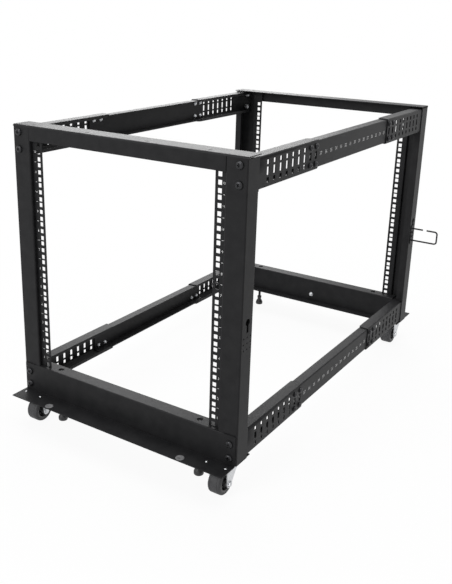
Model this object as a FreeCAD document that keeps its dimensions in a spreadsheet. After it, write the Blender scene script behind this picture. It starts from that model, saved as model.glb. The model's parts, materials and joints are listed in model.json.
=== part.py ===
"""Adjustable four-post open frame rack, 12 rack units, on swivel casters.

The rack is laid out with +X to the right, +Y to the rear and +Z up.  Its
origin is on the floor, midway between the left and right sides and midway
between the front and rear mounting faces.  All lengths are millimetres.

Posts, beams and rails are folded sheet: each is the pad of a sheet section,
which is drawn from the path of one of its faces.
"""
import FreeCAD, Part
import math
import os
import Sketcher

Vec = FreeCAD.Vector
doc = FreeCAD.newDocument("open_frame_rack")

# --------------------------------------------------------------------------
# Driving dimensions
# --------------------------------------------------------------------------
DIMENSIONS = [
    ("rack_depth", 958.0, "front mounting face to rear mounting face"),
    ("half_width", 297.0, "centre plane to the outside of a post"),
    ("gauge", 2.0, "sheet thickness of the posts, beams and rails"),
    ("bend", 3.0, "outer radius of a fold"),
    ("play", 0.05, "radial play of a running fit"),
    ("unit", 44.45, "one rack unit"),
    ("unit_count", 12.0, "rack units between the beams"),
    ("unit_base", 143.0, "underside of the first rack unit above the floor"),
    ("hole_step", 15.875, "square hole above or below the middle one of its unit"),
    ("square_hole", 9.5, "side of a square mounting hole"),
    ("column_x", 232.55, "centre plane to a column of square holes"),
    ("strip_edge", 222.5, "centre plane to the free edge of the mounting strip"),
    ("wall_x", 250.0, "centre plane to the inner side of the return wall"),
    ("face_step", 9.0, "post face in front of the mounting face"),
    ("side_depth", 42.0, "depth of the side flange"),
    ("lip", 19.0, "width of the lip behind the side flange"),
    ("lip_top", 640.0, "upper end of that lip, under the top rail bracket"),
    ("post_foot", 75.0, "lower end of the posts"),
    ("post_top", 706.0, "upper end of the posts"),
    ("accessory_y", 13.5, "accessory hole grid behind the mounting face"),
    ("accessory_z", 341.0, "centre height of the accessory hole grid"),
    ("accessory_pitch", 12.7, "pitch of the accessory holes"),
    ("accessory_size", 4.0, "width of an accessory hole"),
    ("keyhole_rise", 44.0, "keyhole's head above the middle of the grid"),
    ("beam_foot", 677.5, "lower edge of the top beam's face"),
    ("beam_top", 710.5, "upper side of the top beams"),
    ("beam_bend", 4.0, "outer radius of the top beam's fold"),
    ("plate_back", 39.0, "top beam's plate behind the mounting face"),
    ("web_half", 294.0, "half length of the base beam's outer web"),
    ("hat_half", 264.0, "half length of the base beam's raised channel"),
    ("hat_back", 25.0, "inner web of the base beam behind the mounting face"),
    ("outer_lip", 59.0, "edge of the outer flange before the mounting face"),
    ("inner_lip", 50.0, "edge of the inner flange behind the mounting face"),
    ("foot_x", 196.0, "centre plane to a levelling foot"),
    ("foot_y", 7.0, "levelling foot behind the mounting face"),
    ("foot_lift", 12.0, "pad of a raised levelling foot above the floor"),
    ("pad_radius", 11.0, "pad of a levelling foot"),
    ("stem_radius", 4.0, "levelling foot stem"),
    ("nut_radius", 9.5, "weld nut of a levelling foot over its corners"),
    ("nut_height", 10.0, "height of that nut"),
    ("rail_height", 62.0, "height of a rail bracket"),
    ("rail_flange", 28.0, "width of the rail bracket's flanges"),
    ("top_rail_mid", 673.0, "centre height of the top rails"),
    ("base_rail_mid", 110.5, "centre height of the bottom rails"),
    ("bracket_reach", 284.0, "end of a rail bracket behind the mounting face"),
    ("slot_first", 69.0, "first slot column behind the mounting face"),
    ("slot_pitch", 25.4, "pitch of the slot columns"),
    ("slot_columns", 9.0, "columns with a long slot in a bracket"),
    ("open_columns", 7.0, "columns that also have short slots"),
    ("slot_width", 6.5, "width of the slots"),
    ("long_slot", 18.0, "length of the middle slot"),
    ("short_slot", 10.0, "length of the outer slots"),
    ("slot_rise", 17.5, "outer slots above and below the middle"),
    ("slide_play", 0.3, "play between a bracket and the middle rail"),
    ("middle_length", 494.0, "length of a middle rail"),
    ("middle_flange", 24.0, "width of the middle rail's flanges"),
    ("caster_x", 259.0, "centre plane to a caster's swivel axis"),
    ("caster_y", 5.0, "swivel axis behind the mounting face"),
    ("bolt_x", 23.0, "half spacing of the caster bolts across"),
    ("bolt_y", 31.0, "half spacing of the caster bolts along"),
    ("bolt_radius", 4.5, "caster bolt holes over their corners"),
    ("plate_half_x", 31.0, "half width of a caster plate"),
    ("plate_half_y", 42.0, "half length of a caster plate"),
    ("plate_gauge", 3.0, "thickness of a caster plate"),
    ("race_height", 6.0, "fork's crown below the caster plate"),
    ("race_radius", 17.0, "bearing race of a caster"),
    ("pin_radius", 5.0, "king pin"),
    ("trail", 12.0, "wheel axle ahead of the swivel axis"),
    ("wheel_radius", 28.0, "caster tyre radius"),
    ("tyre_half", 15.0, "half width of the tyre"),
    ("shoulder", 4.0, "tyre shoulder"),
    ("rim_radius", 21.0, "radius of the wheel centre"),
    ("rim_wall", 4.5, "wall of the wheel's rim"),
    ("hub_radius", 8.0, "hub of the wheel"),
    ("axle_radius", 3.0, "caster axle"),
    ("axle_nut", 6.0, "head and nut of the axle over their corners"),
    ("fork_inner", 20.0, "inside of a fork leg from the wheel's middle"),
    ("fork_gauge", 2.5, "thickness of the fork"),
    ("fork_tip", 9.0, "radius of a fork leg's tip"),
    ("ring_mid", 345.0, "centre height of the cable ring"),
    ("ring_rise", 17.5, "half height of the cable ring"),
    ("ring_reach", 73.2, "outer rod of the cable ring from the side of the post"),
    ("ring_bend", 7.0, "bend radius of the rod"),
    ("ring_gap", 11.0, "gap in the upper rod"),
    ("rod_radius", 2.2, "rod of the cable ring"),
]

sheet = doc.addObject("Spreadsheet::Sheet", "dims")
for row, (alias, value, note) in enumerate(DIMENSIONS, start=1):
    sheet.set("A%d" % row, alias.replace("_", " "))
    sheet.set("B%d" % row, repr(value))
    sheet.set("C%d" % row, note)
    sheet.setAlias("B%d" % row, alias)
doc.recompute()


class Dim:
    """A length that knows its value and the expression that gives it."""

    def __init__(self, value, text):
        self.value = float(value)
        self.text = text

    @staticmethod
    def of(other):
        if isinstance(other, Dim):
            return other
        return Dim(other, repr(float(other)))

    def __add__(self, other):
        other = Dim.of(other)
        return Dim(self.value + other.value, "(%s + %s)" % (self.text, other.text))

    def __sub__(self, other):
        other = Dim.of(other)
        return Dim(self.value - other.value, "(%s - %s)" % (self.text, other.text))

    def __mul__(self, other):
        other = Dim.of(other)
        return Dim(self.value * other.value, "(%s * %s)" % (self.text, other.text))

    def __truediv__(self, other):
        other = Dim.of(other)
        return Dim(self.value / other.value, "(%s / %s)" % (self.text, other.text))

    def __neg__(self):
        return self * -1.0

    __radd__ = __add__
    __rmul__ = __mul__

    def __rsub__(self, other):
        return Dim.of(other) - self


D = {alias: Dim(value, "dims." + alias) for alias, value, note in DIMENSIONS}
ZERO = Dim(0.0, "0")
OVERCUT = 2.0
NODES = []


# --------------------------------------------------------------------------
# Document helpers
# --------------------------------------------------------------------------
def bind(obj, prop, dim):
    """Drive a property of an object from the sheet."""
    obj.setExpression(prop, Dim.of(dim).text)


def new_body(name):
    """Start the body of one sub-part; its label names the node."""
    body = doc.addObject("PartDesign::Body", name)
    body.Label = name
    NODES.append(body)
    return body


def origin_feature(body, role):
    """One of the body's own origin planes or axes."""
    for feature in body.Origin.OriginFeatures:
        if feature.Role == role:
            return feature
    raise ValueError(role)


def new_sketch(body, plane, name, offset):
    """Sketch parallel to an origin plane at a driven coordinate.

    XY looks along -Z and XZ along +Y, so an XZ sketch is drawn in X and Z and
    pads towards -Y; YZ is drawn in Y and Z and pads towards +X.
    """
    sketch = body.newObject("Sketcher::SketchObject", name)
    sketch.AttachmentSupport = [(origin_feature(body, plane + "_Plane"), "")]
    sketch.MapMode = "FlatFace"
    offset = Dim.of(offset)
    if plane == "XZ":
        offset = -offset
    sketch.AttachmentOffset = FreeCAD.Placement(Vec(0, 0, offset.value), FreeCAD.Rotation())
    sketch.setExpression("AttachmentOffset.Base.z", offset.text)
    return sketch


def hold(sketch, geo, point, kind, dim):
    """Hold one coordinate of a point of the sketch at a driven value."""
    dim = Dim.of(dim)
    axis = -2 if kind == "DistanceX" else -1
    if abs(dim.value) < 1e-7:
        sketch.addConstraint(Sketcher.Constraint("PointOnObject", geo, point, axis))
        return
    index = sketch.addConstraint(Sketcher.Constraint(kind, -1, 1, geo, point, dim.value))
    sketch.setExpression("Constraints[%d]" % index, dim.text)


def line(sketch, start, end):
    return sketch.addGeometry(Part.LineSegment(Vec(start[0], start[1], 0),
                                               Vec(end[0], end[1], 0)), False)


def polygon(sketch, points):
    """Closed outline through driven points."""
    points = [(Dim.of(x), Dim.of(y)) for x, y in points]
    places = [(x.value, y.value) for x, y in points]
    edges = [line(sketch, a, b) for a, b in zip(places, places[1:] + places[:1])]
    for edge, following in zip(edges, edges[1:] + edges[:1]):
        sketch.addConstraint(Sketcher.Constraint("Coincident", edge, 2, following, 1))
    for edge, (x, y) in zip(edges, points):
        hold(sketch, edge, 1, "DistanceX", x)
        hold(sketch, edge, 1, "DistanceY", y)


def regular(sketch, x, y, radius, sides):
    """Regular polygon with a flat at the bottom; radius is over its corners."""
    turn = 2.0 * math.pi / sides
    polygon(sketch, [(x + radius * math.cos((i + 0.5) * turn - math.pi / 2.0),
                      y + radius * math.sin((i + 0.5) * turn - math.pi / 2.0))
                     for i in range(sides)])


def over_flats(radius, sides):
    """Radius over the corners of a polygon that holds a circle."""
    return radius / math.cos(math.pi / sides)


def box_outline(sketch, x0, x1, y0, y1):
    """Rectangle between driven bounds, which may come in either order."""
    corners = [(x0, y0, ZERO), (x1, y0, ZERO), (x1, y1, ZERO), (x0, y1, ZERO)]
    section(sketch, corners)


def circle(sketch, x, y, radius):
    """Driven circle."""
    radius, x, y = Dim.of(radius), Dim.of(x), Dim.of(y)
    geo = sketch.addGeometry(Part.Circle(Vec(x.value, y.value, 0), Vec(0, 0, 1),
                                         radius.value), False)
    index = sketch.addConstraint(Sketcher.Constraint("Radius", geo, radius.value))
    sketch.setExpression("Constraints[%d]" % index, radius.text)
    hold(sketch, geo, 3, "DistanceX", x)
    hold(sketch, geo, 3, "DistanceY", y)


def heading(start, end):
    """Direction of an edge that runs along an axis."""
    dx, dy = end[0].value - start[0].value, end[1].value - start[1].value
    if abs(dx) > abs(dy):
        return (math.copysign(1.0, dx), 0.0)
    return (0.0, math.copysign(1.0, dy))


def turning(before, after):
    """1 where the outline turns left, -1 where it turns right."""
    return round(before[0] * after[1] - before[1] * after[0])


def section(sketch, corners, closed=True):
    """Outline of runs along the axes, each corner with its own driven radius.

    A radius of 0 leaves the corner sharp.  An open outline is a route.
    """
    corners = [(Dim.of(x), Dim.of(y), Dim.of(r)) for x, y, r in corners]
    count = len(corners)
    runs = count if closed else count - 1
    ways = [heading(corners[i], corners[(i + 1) % count]) for i in range(runs)]

    def rounded(i):
        return corners[i][2].value > 0.0 and (closed or 0 < i < count - 1)

    def shifted(i, way, sign):
        """The corner moved along a run by its radius."""
        x, y, r = corners[i]
        step = r.value * sign if rounded(i) else 0.0
        return (x.value + way[0] * step, y.value + way[1] * step)

    lines = []
    for i, way in enumerate(ways):
        lines.append(line(sketch, shifted(i, way, 1.0), shifted((i + 1) % count, way, -1.0)))
    for i in range(count):
        if not closed and i in (0, count - 1):
            continue
        before, after = lines[i - 1], lines[i % runs]
        if not rounded(i):
            sketch.addConstraint(Sketcher.Constraint("Coincident", before, 2, after, 1))
            continue
        into, out = ways[i - 1], ways[i % runs]
        start, end = shifted(i, into, -1.0), shifted(i, out, 1.0)
        centre = (start[0] + end[0] - corners[i][0].value, start[1] + end[1] - corners[i][1].value)
        left = turning(into, out) > 0
        first, last = (start, end) if left else (end, start)
        a0 = math.atan2(first[1] - centre[1], first[0] - centre[0])
        a1 = math.atan2(last[1] - centre[1], last[0] - centre[0])
        bow = Part.Circle(Vec(centre[0], centre[1], 0), Vec(0, 0, 1), corners[i][2].value)
        arc = sketch.addGeometry(Part.ArcOfCircle(bow, a0, a1 if a1 > a0 else a1 + 2 * math.pi), False)
        sketch.addConstraint(Sketcher.Constraint("Tangent", before, 2, arc, 1 if left else 2))
        sketch.addConstraint(Sketcher.Constraint("Tangent", arc, 2 if left else 1, after, 1))
        index = sketch.addConstraint(Sketcher.Constraint("Radius", arc, corners[i][2].value))
        sketch.setExpression("Constraints[%d]" % index, corners[i][2].text)
    for i, way in enumerate(ways):
        across = way[0] != 0.0
        sketch.addConstraint(Sketcher.Constraint("Horizontal" if across else "Vertical", lines[i]))
        hold(sketch, lines[i], 1, "DistanceY" if across else "DistanceX", corners[i][1 if across else 0])
    if not closed:
        for geo, point, corner, way in ((lines[0], 1, corners[0], ways[0]),
                                        (lines[-1], 2, corners[-1], ways[-1])):
            across = way[0] != 0.0
            hold(sketch, geo, point, "DistanceX" if across else "DistanceY", corner[0 if across else 1])


def folded(path, side, bend):
    """Corners of a sheet section whose one face follows a path.

    side is 1 where the sheet lies to the left of the path, -1 to the right.
    Each fold is rounded on its outside and sharp inside.
    """
    gauge = D["gauge"]
    path = [(Dim.of(x), Dim.of(y)) for x, y in path]
    ways = [heading(a, b) for a, b in zip(path, path[1:])]
    near, far = [], []
    for i, (x, y) in enumerate(path):
        into, out = ways[max(i - 1, 0)], ways[min(i, len(ways) - 1)]
        shift_x, shift_y = -into[1] * side, into[0] * side
        if into != out:
            shift_x, shift_y = shift_x - out[1] * side, shift_y + out[0] * side
        turn = turning(into, out)
        near.append((x, y, bend if turn == side else ZERO))
        far.append((x + gauge * shift_x, y + gauge * shift_y, bend if turn == -side else ZERO))
    return near + far[::-1]


def pad(body, sketch, name, length):
    """Extrude a sketch along its normal."""
    feature = body.newObject("PartDesign::Pad", name)
    feature.Profile = sketch
    feature.Length = Dim.of(length).value
    bind(feature, "Length", length)
    body.Tip = feature
    return feature


def pocket(body, sketch, name, length, reverse=False):
    """Cut a sketch against its normal, or along it if reversed."""
    feature = body.newObject("PartDesign::Pocket", name)
    feature.Profile = sketch
    feature.Length = Dim.of(length).value
    bind(feature, "Length", length)
    feature.Reversed = reverse
    body.Tip = feature
    return feature


def edges_where(feature, test):
    """Names of the edges whose middle and both ends pass a test of their place."""
    doc.recompute()
    return ["Edge%d" % number for number, edge in enumerate(feature.Shape.Edges, start=1)
            if all(test(point) for point in [edge.CenterOfMass] + [v.Point for v in edge.Vertexes])]


def chamfer(body, feature, name, edges, size, rise=None):
    """Bevel edges equally, or by a size on the end face and a rise up the side."""
    bevel = body.newObject("PartDesign::Chamfer", name)
    bevel.Base = (feature, edges)
    bevel.Size = Dim.of(size).value
    bind(bevel, "Size", size)
    if rise is not None:
        bevel.ChamferType = "Two distances"
        bevel.FlipDirection = True
        bevel.Size2 = Dim.of(rise).value
        bind(bevel, "Size2", rise)
    body.Tip = bevel
    return bevel


def pattern(body, feature, name, direction, pitch, count, backwards=False):
    """Repeat a feature along one of the body's own axes."""
    row = body.newObject("PartDesign::LinearPattern", name)
    row.Originals = [feature]
    row.Direction = (origin_feature(body, direction), [""])
    pitch, count = Dim.of(pitch), Dim.of(count)
    row.Length = pitch.value * (count.value - 1)
    row.setExpression("Length", "%s * (%s - 1)" % (pitch.text, count.text))
    row.Occurrences = int(count.value)
    row.Reversed = backwards
    body.Tip = row
    return row


# --------------------------------------------------------------------------
# Places in the rack
# --------------------------------------------------------------------------
class Corner:
    """Coordinates seen from one corner of the rack.

    across() takes a distance from the centre plane, depth() a distance behind
    the mounting face, towards the middle of the rack.  hand is 1 where a sheet
    drawn from the side round the front of this corner lies to the left.
    """

    def __init__(self, side, end):
        self.side, self.end = side, end
        self.hand = side * end

    def across(self, x):
        return Dim.of(x) * float(self.side)

    def depth(self, y):
        return (D["rack_depth"] / 2.0 - y) * float(self.end)


FRONT_LEFT, FRONT_RIGHT = Corner(-1, -1), Corner(1, -1)
REAR_LEFT, REAR_RIGHT = Corner(-1, 1), Corner(1, 1)
CORNERS = {"front_left": FRONT_LEFT, "front_right": FRONT_RIGHT,
           "rear_left": REAR_LEFT, "rear_right": REAR_RIGHT}


# --------------------------------------------------------------------------
# Posts
# --------------------------------------------------------------------------
def build_post(name, corner):
    """Folded post: lip, side flange, face, return wall and mounting strip.

    The strip starts above the base beam and the lip stops under the top rail,
    so the section changes twice on the way up.
    """
    body = new_body(name)
    ax, dy = corner.across, corner.depth
    outside, face, back = ax(D["half_width"]), dy(-D["face_step"]), dy(D["side_depth"] - D["face_step"])
    lip = [(ax(D["half_width"] - D["lip"]), back)]
    angle = [(outside, back), (outside, face), (ax(D["wall_x"]), face)]
    strip = [(ax(D["wall_x"]), dy(ZERO)), (ax(D["strip_edge"]), dy(ZERO))]
    for label, path, start, stop in (("foot", angle, D["post_foot"], D["unit_base"]),
                                     ("post", lip + angle + strip, D["unit_base"], D["lip_top"]),
                                     ("head", angle + strip, D["lip_top"], D["post_top"])):
        outline = new_sketch(body, "XY", label + "_section", start)
        section(outline, folded(path, corner.hand, D["bend"]))
        pad(body, outline, label, stop - start)
    cut_unit_holes(body, corner)
    cut_accessory_holes(body, corner)
    return body


def cut_unit_holes(body, corner):
    """Three square holes a unit, cut through the strip from its face."""
    unit = new_sketch(body, "XZ", "unit_holes", corner.depth(ZERO - OVERCUT))
    half = D["square_hole"] / 2.0
    middle = D["unit_base"] + D["unit"] / 2.0
    for step in (-1.0, 0.0, 1.0):
        z = middle + D["hole_step"] * step
        box_outline(unit, corner.across(D["column_x"] - half), corner.across(D["column_x"] + half),
                    z - half, z + half)
    holes = pocket(body, unit, "unit_cut", D["gauge"] + 2.0 * OVERCUT, reverse=corner.end > 0)
    pattern(body, holes, "unit_pattern", "Z_Axis", D["unit"], D["unit_count"])


def cut_accessory_holes(body, corner):
    """Grid of small holes in the side flange and a keyhole above it.

    The two holes that carry a screwed plate are round, and the rest have six
    sides to keep the faces few.
    """
    grid = new_sketch(body, "YZ", "accessory_grid", corner.across(D["half_width"] + OVERCUT))
    radius = D["accessory_size"] / 2.0
    for column in (-1, 0, 1):
        for row in (-1, 0, 1):
            y = corner.depth(D["accessory_y"] + D["accessory_pitch"] * float(column))
            z = D["accessory_z"] + D["accessory_pitch"] * float(row)
            if column == 0 and row != 0:
                circle(grid, y, z, radius)
            else:
                regular(grid, y, z, radius, 6)
    y, z = corner.depth(D["accessory_y"]), D["accessory_z"] + D["keyhole_rise"]
    neck, head = 3.5, 7.5
    polygon(grid, [(y - neck, z - 22.0), (y + neck, z - 22.0), (y + neck, z - 6.6), (y + head, z - 3.1),
                   (y + head, z + 3.1), (y + 3.1, z + head), (y - 3.1, z + head), (y - head, z + 3.1),
                   (y - head, z - 3.1), (y - neck, z - 6.6)])
    pocket(body, grid, "accessory_cut", D["gauge"] + 2.0 * OVERCUT, reverse=corner.side < 0)


# --------------------------------------------------------------------------
# Beams
# --------------------------------------------------------------------------
def build_top_beam(name, end):
    """Folded angle: its face stands between the posts, its plate covers them."""
    body = new_body(name)
    dy = Corner(1, end).depth
    face = dy(-D["face_step"])
    plate = [(face, D["beam_top"]), (dy(D["plate_back"]), D["beam_top"])]
    cap_width = D["half_width"] - D["wall_x"]
    for label, start, length, foot in (("left_cap", -D["half_width"], cap_width, D["post_top"]),
                                       ("beam", -D["wall_x"], D["wall_x"] * 2.0, D["beam_foot"]),
                                       ("right_cap", D["wall_x"], cap_width, D["post_top"])):
        outline = new_sketch(body, "YZ", label + "_section", start)
        section(outline, folded([(face, foot)] + plate, end, D["beam_bend"]))
        pad(body, outline, label, length)
    return body


def build_base_beam(name, end):
    """Hat-shaped beam: two webs, a top plate and outer and inner flanges."""
    body = new_body(name)
    left, right = Corner(-1, end), Corner(1, end)
    dy, low, high = left.depth, D["post_foot"], D["unit_base"]
    front = dy(-D["face_step"] - D["gauge"])
    outer = [(dy(-D["outer_lip"]), low), (front, low), (front, high)]
    inner = [(dy(D["hat_back"]), high), (dy(D["hat_back"]), low), (dy(D["inner_lip"]), low)]
    hat = new_sketch(body, "YZ", "hat_section", -D["hat_half"])
    section(hat, folded(outer + inner, end, D["bend"]))
    pad(body, hat, "hat", D["hat_half"] * 2.0)
    for label, start in (("left_end", -D["web_half"]), ("right_end", D["hat_half"])):
        tail = new_sketch(body, "YZ", label + "_section", start)
        section(tail, folded(outer, end, D["bend"]))
        box_outline(tail, dy(D["hat_back"] - D["gauge"]), dy(D["inner_lip"]), low - D["gauge"], low)
        pad(body, tail, label, D["web_half"] - D["hat_half"])
    cut_post_notches(body, left, right)
    add_foot_nuts(body, left, right)
    cut_bolt_holes(body, left, right)
    return body


def cut_post_notches(body, left, right):
    """Slits in the ends of the top plate that let the post faces through."""
    slits = new_sketch(body, "XY", "post_slits", D["unit_base"] + OVERCUT)
    for corner in (left, right):
        box_outline(slits, corner.across(D["wall_x"]), corner.across(D["hat_half"] + OVERCUT),
                    corner.depth(-D["face_step"]), corner.depth(D["gauge"] - D["face_step"]))
    pocket(body, slits, "slits", D["gauge"] + OVERCUT + 0.5)


def add_foot_nuts(body, left, right):
    """Weld nuts for the levelling feet under holes in the top plate."""
    under = D["unit_base"] - D["gauge"]
    outlines = {}
    for label, level in (("nuts", under - D["nut_height"]), ("plate_holes", D["unit_base"] + OVERCUT),
                         ("threads", under + OVERCUT)):
        outlines[label] = new_sketch(body, "XY", label + "_outline", level)
    for corner in (left, right):
        x, y = corner.across(D["foot_x"]), corner.depth(D["foot_y"])
        regular(outlines["nuts"], x, y, D["nut_radius"], 6)
        regular(outlines["plate_holes"], x, y, D["nut_radius"] - 2.5, 12)
        regular(outlines["threads"], x, y, over_flats(D["stem_radius"] + D["play"], 12), 12)
    pad(body, outlines["nuts"], "nuts", D["nut_height"])
    pocket(body, outlines["plate_holes"], "plate_holes", D["gauge"] + OVERCUT)
    pocket(body, outlines["threads"], "threads", D["nut_height"] + 2.0 * OVERCUT)


def cut_bolt_holes(body, left, right):
    """Four caster bolt holes at each end, through the flanges."""
    bolts = new_sketch(body, "XY", "bolt_outline", D["post_foot"] + OVERCUT)
    for corner in (left, right):
        for sx in (-1.0, 1.0):
            for sy in (-1.0, 1.0):
                regular(bolts, corner.across(D["caster_x"] + D["bolt_x"] * sx),
                        corner.depth(D["caster_y"] + D["bolt_y"] * sy), D["bolt_radius"], 8)
    pocket(body, bolts, "bolt_holes", D["gauge"] + 2.0 * OVERCUT)


# --------------------------------------------------------------------------
# Side rails
# --------------------------------------------------------------------------
def channel(sketch, side, outside, width, mid, half):
    """Section of a channel that is open to the middle of the rack."""
    x0, x1 = outside * float(side), (outside - width) * float(side)
    section(sketch, folded([(x1, mid + half), (x0, mid + half), (x0, mid - half), (x1, mid - half)],
                           -side, D["bend"]))


def build_bracket(name, corner, mid):
    """Rail bracket: channel with rows of slots and a tab behind the post."""
    body = new_body(name)
    ax, dy, half = corner.across, corner.depth, D["rail_height"] / 2.0
    outside = D["half_width"] - D["gauge"]
    start, stop = dy(D["gauge"] - D["face_step"]), dy(D["bracket_reach"])
    length = D["bracket_reach"] + D["face_step"] - D["gauge"]
    profile = new_sketch(body, "XZ", "channel_section", stop if corner.end < 0 else start)
    channel(profile, corner.side, outside, D["rail_flange"], mid, half)
    pad(body, profile, "channel", length)
    tab = new_sketch(body, "XY", "tab_outline", mid - half + D["gauge"])
    box_outline(tab, ax(outside - D["rail_flange"]), ax(outside - D["gauge"]), start,
                dy(D["gauge"] * 2.0 - D["face_step"]))
    pad(body, tab, "tab", D["rail_height"] - D["gauge"] * 2.0)
    clip = 6.0
    clips = new_sketch(body, "XY", "flange_corners", mid + half + OVERCUT)
    polygon(clips, [(ax(outside - D["rail_flange"] - 1.0), dy(D["bracket_reach"] - clip - 1.0)),
                    (ax(outside - D["rail_flange"] - 1.0), dy(D["bracket_reach"] + 1.0)),
                    (ax(outside - D["rail_flange"] + clip + 1.0), dy(D["bracket_reach"] + 1.0))])
    pocket(body, clips, "clipped_corners", D["rail_height"] + 2.0 * OVERCUT)
    cut_slots(body, corner, mid)
    return body


def cut_slots(body, corner, mid):
    """Columns of slots in the web: a long one between two short ones."""
    outside = corner.across(D["half_width"] - D["gauge"] + OVERCUT)
    y, w = corner.depth(D["slot_first"]), D["slot_width"] / 2.0
    long_slot = new_sketch(body, "YZ", "long_slot", outside)
    box_outline(long_slot, y - w, y + w, mid - D["long_slot"] / 2.0, mid + D["long_slot"] / 2.0)
    short_slots = new_sketch(body, "YZ", "short_slots", outside)
    for rise in (-D["slot_rise"], D["slot_rise"]):
        box_outline(short_slots, y - w, y + w, mid + rise - D["short_slot"] / 2.0,
                    mid + rise + D["short_slot"] / 2.0)
    for label, outline, count in (("long_slots", long_slot, D["slot_columns"]),
                                  ("short_slots", short_slots, D["open_columns"])):
        cut = pocket(body, outline, label + "_cut", D["gauge"] + 2.0 * OVERCUT, reverse=corner.side < 0)
        pattern(body, cut, label + "_pattern", "Y_Axis", D["slot_pitch"], count,
                backwards=corner.end > 0)


def build_middle_rail(name, side, mid):
    """Plain channel that slides inside the front and rear brackets."""
    body = new_body(name)
    outside = D["half_width"] - D["gauge"] * 2.0 - D["slide_play"]
    half = D["rail_height"] / 2.0 - D["gauge"] - D["slide_play"]
    profile = new_sketch(body, "XZ", "channel_section", D["middle_length"] / 2.0)
    channel(profile, side, outside, D["middle_flange"], mid, half)
    pad(body, profile, "channel", D["middle_length"])
    return body


# --------------------------------------------------------------------------
# Casters
# --------------------------------------------------------------------------
def build_caster_plate(name, corner):
    """Flat plate with clipped corners, four bolt holes and the pin's bore."""
    body = new_body(name)
    x, y = corner.across(D["caster_x"]), corner.depth(D["caster_y"])
    hx, hy, clip = D["plate_half_x"], D["plate_half_y"], 5.0
    outline = new_sketch(body, "XY", "outline", D["post_foot"] - D["gauge"] - D["plate_gauge"])
    polygon(outline, [(x - hx + clip, y - hy), (x + hx - clip, y - hy), (x + hx, y - hy + clip),
                      (x + hx, y + hy - clip), (x + hx - clip, y + hy), (x - hx + clip, y + hy),
                      (x - hx, y + hy - clip), (x - hx, y - hy + clip)])
    for sx in (-1.0, 1.0):
        for sy in (-1.0, 1.0):
            regular(outline, x + D["bolt_x"] * sx, y + D["bolt_y"] * sy, D["bolt_radius"], 8)
    regular(outline, x, y, over_flats(D["pin_radius"] + D["play"], 12), 12)
    pad(body, outline, "plate", D["plate_gauge"])
    return body


def build_caster_fork(name, corner):
    """Folded fork, trimmed to its side view, with race, king pin and axle."""
    body = new_body(name)
    x, y = corner.across(D["caster_x"]), corner.depth(D["caster_y"])
    crown = D["post_foot"] - D["gauge"] - D["plate_gauge"] - D["race_height"]
    outer, tip = D["fork_inner"] + D["fork_gauge"], D["fork_tip"]
    axle_y, axle_z = y - D["trail"], D["wheel_radius"]
    front, rear = axle_y - tip, y + 17.0
    arch = new_sketch(body, "XZ", "arch_section", rear)
    inner = D["fork_inner"]
    foot = axle_z - tip
    section(arch, [(x - outer, foot, ZERO), (x - outer, crown, D["bend"] + 1.0),
                   (x + outer, crown, D["bend"] + 1.0), (x + outer, foot, ZERO), (x + inner, foot, ZERO),
                   (x + inner, crown - D["fork_gauge"], ZERO), (x - inner, crown - D["fork_gauge"], ZERO),
                   (x - inner, foot, ZERO)])
    pad(body, arch, "arch", rear - front)
    trim = new_sketch(body, "YZ", "side_view", x + outer + OVERCUT)
    slant, round_off = tip * 0.7071, 7.0
    polygon(trim, [(rear + OVERCUT, crown - round_off), (rear, crown - round_off), (axle_y + tip, axle_z),
                   (axle_y + slant, axle_z - slant), (axle_y + 2.0, foot), (axle_y + 2.0, foot - OVERCUT),
                   (rear + OVERCUT, foot - OVERCUT)])
    polygon(trim, [(front - OVERCUT, axle_z), (front, axle_z), (axle_y - slant, axle_z - slant),
                   (axle_y - 2.0, foot), (axle_y - 2.0, foot - OVERCUT), (front - OVERCUT, foot - OVERCUT)])
    pocket(body, trim, "trimmed", (outer + OVERCUT) * 2.0)
    add_fork_pins(body, x, y, crown)
    return body


def add_fork_pins(body, x, y, crown):
    """Bearing race, king pin, and the axle with its head and nut."""
    race = new_sketch(body, "XY", "race_outline", crown)
    regular(race, x, y, D["race_radius"], 16)
    pad(body, race, "race", D["race_height"] - 0.5)
    pin = new_sketch(body, "XY", "pin_outline", crown + D["race_height"] - 1.0)
    regular(pin, x, y, D["pin_radius"], 12)
    pad(body, pin, "king_pin", D["plate_gauge"])
    outer = D["fork_inner"] + D["fork_gauge"]
    axle = new_sketch(body, "YZ", "axle_outline", x - outer)
    regular(axle, y - D["trail"], D["wheel_radius"], D["axle_radius"], 12)
    pad(body, axle, "axle", outer * 2.0)
    for label, start in (("axle_head", x - outer - 3.0), ("axle_nut", x + outer)):
        nut = new_sketch(body, "YZ", label + "_outline", start)
        regular(nut, y - D["trail"], D["wheel_radius"], D["axle_nut"], 6)
        pad(body, nut, label, 3.0)


WHEEL_SIDES = 28


def build_caster_wheel(name, corner):
    """Moulded wheel centre: rim, thin web and hub."""
    body = new_body(name)
    x, y = corner.across(D["caster_x"]), corner.depth(D["caster_y"]) - D["trail"]
    z, wide = D["wheel_radius"], D["tyre_half"] - 2.0
    rim = new_sketch(body, "YZ", "rim_outline", x - wide)
    regular(rim, y, z, D["rim_radius"], WHEEL_SIDES)
    regular(rim, y, z, D["rim_radius"] - D["rim_wall"], 14)
    pad(body, rim, "rim", wide * 2.0)
    for label, radius, half in (("web", D["rim_radius"] - D["rim_wall"] + 1.5, Dim.of(4.0)),
                                ("hub", D["hub_radius"], D["fork_inner"] - 0.5)):
        outline = new_sketch(body, "YZ", label + "_outline", x - half)
        regular(outline, y, z, radius, 14)
        pad(body, outline, label, half * 2.0)
    bore = new_sketch(body, "YZ", "bore_outline", x + D["fork_inner"])
    regular(bore, y, z, over_flats(D["axle_radius"] + D["play"], 12), 12)
    pocket(body, bore, "bore", D["fork_inner"] * 2.0)
    return body


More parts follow.
